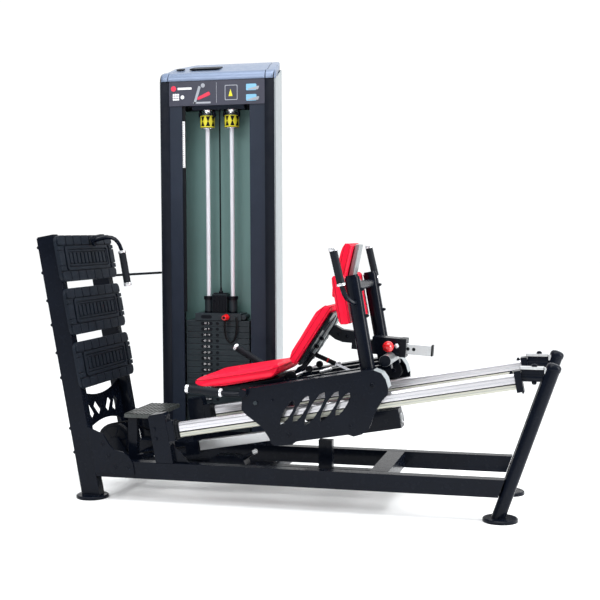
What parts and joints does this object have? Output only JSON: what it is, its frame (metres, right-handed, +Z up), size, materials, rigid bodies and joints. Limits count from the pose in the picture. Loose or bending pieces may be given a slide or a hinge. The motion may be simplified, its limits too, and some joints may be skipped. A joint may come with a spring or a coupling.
{
  "type": "leg press machine",
  "caption": "Selectorised horizontal leg press: padded seat carriage on inclined rails, ribbed foot plates, and a shrouded weight stack tower beside it.",
  "frame": {"origin": "on the floor, under the middle of the bounding box", "axes": "+Z up, +X from the foot plates to the rear posts, +Y from the rail frame towards the weight tower"},
  "size_m": [2.1572, 1.183, 1.9531],
  "materials": {
    "frame_paint": "satin black powder coat",
    "rail_silver": "bright silver",
    "red_vinyl": "semi-gloss red upholstery vinyl",
    "grip_rubber": "matte ribbed rubber",
    "tread_rubber": "matte ribbed rubber",
    "chrome": "polished",
    "stack_iron": "satin dark slate paint",
    "sage_panel": "matte sage green",
    "shroud_grey": "satin metallic grey",
    "black_plastic": "satin black",
    "knob_red": "gloss red"
  },
  "bodies": {
    "frame": {"base_rail_near": "frame_paint", "base_rail_far": "frame_paint", "upright_near": "frame_paint", "upright_far": "frame_paint", "rear_post_near": "frame_paint", "rear_post_far": "frame_paint", "rear_bracket_near": "frame_paint", "rear_bracket_far": "frame_paint", "rail_bracket_near": "frame_paint", "rail_bracket_far": "frame_paint", "slide_rail_near": "rail_silver", "slide_rail_far": "rail_silver", "base_crossbar": "frame_paint", "foot_plate_bottom": "tread_rubber", "foot_plate_middle": "tread_rubber", "foot_plate_top": "tread_rubber", "lower_cross_panel": "frame_paint", "pulley_carrier": "frame_paint", "step_plate": "tread_rubber", "assist_handle": "grip_rubber", "brace_rod": "frame_paint", "tower_shell_left": "shroud_grey", "tower_shell_right": "shroud_grey", "tower_hood": "shroud_grey", "tower_front_frame": "frame_paint", "tower_back_panel": "sage_panel", "tower_base": "frame_paint", "guide_rod_left": "chrome", "guide_rod_right": "chrome", "weight_stack": "stack_iron", "lift_cable": "black_plastic", "drive_cable": "black_plastic"},
    "drive": {"drive_tube": "rail_silver"},
    "carriage": {"carriage_side_near": "frame_paint", "carriage_side_far": "frame_paint", "carriage_frame": "frame_paint", "seat_pad": "red_vinyl", "shoulder_post_near": "frame_paint", "shoulder_post_far": "frame_paint", "shoulder_pad_near": "red_vinyl", "shoulder_pad_far": "red_vinyl", "head_frame": "rail_silver", "head_pad": "red_vinyl", "side_handle_near": "grip_rubber", "gas_rod": "chrome"},
    "back": {"back_frame": "frame_paint", "back_pad": "red_vinyl"},
    "adjuster": {"adjuster_tube": "rail_silver"},
    "damper": {"gas_cylinder": "black_plastic"},
    "pin_puller": {"pop_pin": "knob_red"},
    "start_lever": {"side_handle_far": "grip_rubber"},
    "roller_1": {"roller_front_near": "black_plastic"},
    "roller_2": {"roller_front_far": "black_plastic"},
    "roller_3": {"roller_rear_near": "black_plastic"},
    "roller_4": {"roller_rear_far": "black_plastic"},
    "front_wheel": {"front_pulley": "black_plastic"},
    "lift_head": {"head_plate": "stack_iron", "lanyard": "black_plastic"},
    "selector": {"selector_pin": "knob_red"},
    "top_wheel": {"top_pulley": "black_plastic"}
  },
  "joints": [
    {"name": "press_travel", "type": "slide", "parent": "frame", "child": "drive", "axis": [0.9848, 0, 0.1736], "range_m": [0, 0.4], "deforming": ["drive_cable"]},
    {"name": "start_adjust", "type": "slide", "parent": "drive", "child": "carriage", "axis": [0.9848, 0, 0.1736], "range_m": [-0.15, 0.05]},
    {"name": "back_recline", "type": "hinge", "parent": "carriage", "child": "back", "pos_m": [-0.0172, -0.2085, 0.516], "axis": [0, 1, 0], "range_deg": [-15, 0]},
    {"name": "adjuster_slide", "type": "slide", "parent": "carriage", "child": "adjuster", "axis": [0.9976, 0, -0.0698], "range_m": [-0.066, 0.001]},
    {"name": "damper_slide", "type": "slide", "parent": "carriage", "child": "damper", "axis": [-0.9223, 0, 0.3865], "range_m": [-0.001, 0.031]},
    {"name": "pin_pull", "type": "slide", "parent": "carriage", "child": "pin_puller", "axis": [0, -1, 0], "range_m": [0, 0.012], "stiffness_N_per_m": 800, "springref_m": -0.005},
    {"name": "start_release", "type": "hinge", "parent": "carriage", "child": "start_lever", "pos_m": [-0.1602, 0.0935, 0.474], "axis": [0, 1, 0], "range_deg": [0, 20]},
    {"name": "roller_1_spin", "type": "hinge", "parent": "carriage", "child": "roller_1", "pos_m": [-0.1125, -0.4415, 0.4347], "axis": [0, 1, 0], "range_deg": [-1, 620]},
    {"name": "roller_2_spin", "type": "hinge", "parent": "carriage", "child": "roller_2", "pos_m": [-0.1125, 0.0245, 0.4347], "axis": [0, 1, 0], "range_deg": [-1, 620]},
    {"name": "roller_3_spin", "type": "hinge", "parent": "carriage", "child": "roller_3", "pos_m": [0.3622, -0.4415, 0.5184], "axis": [0, 1, 0], "range_deg": [-1, 620]},
    {"name": "roller_4_spin", "type": "hinge", "parent": "carriage", "child": "roller_4", "pos_m": [0.3622, 0.0245, 0.5184], "axis": [0, 1, 0], "range_deg": [-1, 620]},
    {"name": "front_pulley_spin", "type": "hinge", "parent": "frame", "child": "front_wheel", "pos_m": [-0.8491, -0.2085, 0.2012], "axis": [0, 1, 0], "range_deg": [-330, 1]},
    {"name": "head_lift", "type": "slide", "parent": "frame", "child": "lift_head", "axis": [0, 0, 1], "range_m": [-0.001, 0.402], "deforming": ["lift_cable"]},
    {"name": "pin_draw", "type": "slide", "parent": "lift_head", "child": "selector", "axis": [0, -1, 0], "range_m": [0, 0.06], "deforming": ["lanyard"]},
    {"name": "top_pulley_spin", "type": "hinge", "parent": "frame", "child": "top_wheel", "pos_m": [-0.5302, 0.3945, 1.775], "axis": [1, 0, 0], "range_deg": [-410, 1]}
  ],
  "couplings": [
    {"joint": "adjuster_slide", "follows": "back_recline", "m_per_rad": 0.235},
    {"joint": "damper_slide", "follows": "back_recline", "m_per_rad": -0.1157},
    {"joint": "front_pulley_spin", "follows": "press_travel", "rad_per_m": -13.8},
    {"joint": "head_lift", "follows": "press_travel", "ratio": 1},
    {"joint": "top_pulley_spin", "follows": "press_travel", "rad_per_m": -17.4},
    {"joint": "roller_1_spin", "follows": "press_travel", "rad_per_m": 26.67},
    {"joint": "roller_2_spin", "follows": "press_travel", "rad_per_m": 26.67},
    {"joint": "roller_3_spin", "follows": "press_travel", "rad_per_m": 26.67},
    {"joint": "roller_4_spin", "follows": "press_travel", "rad_per_m": 26.67}
  ]
}
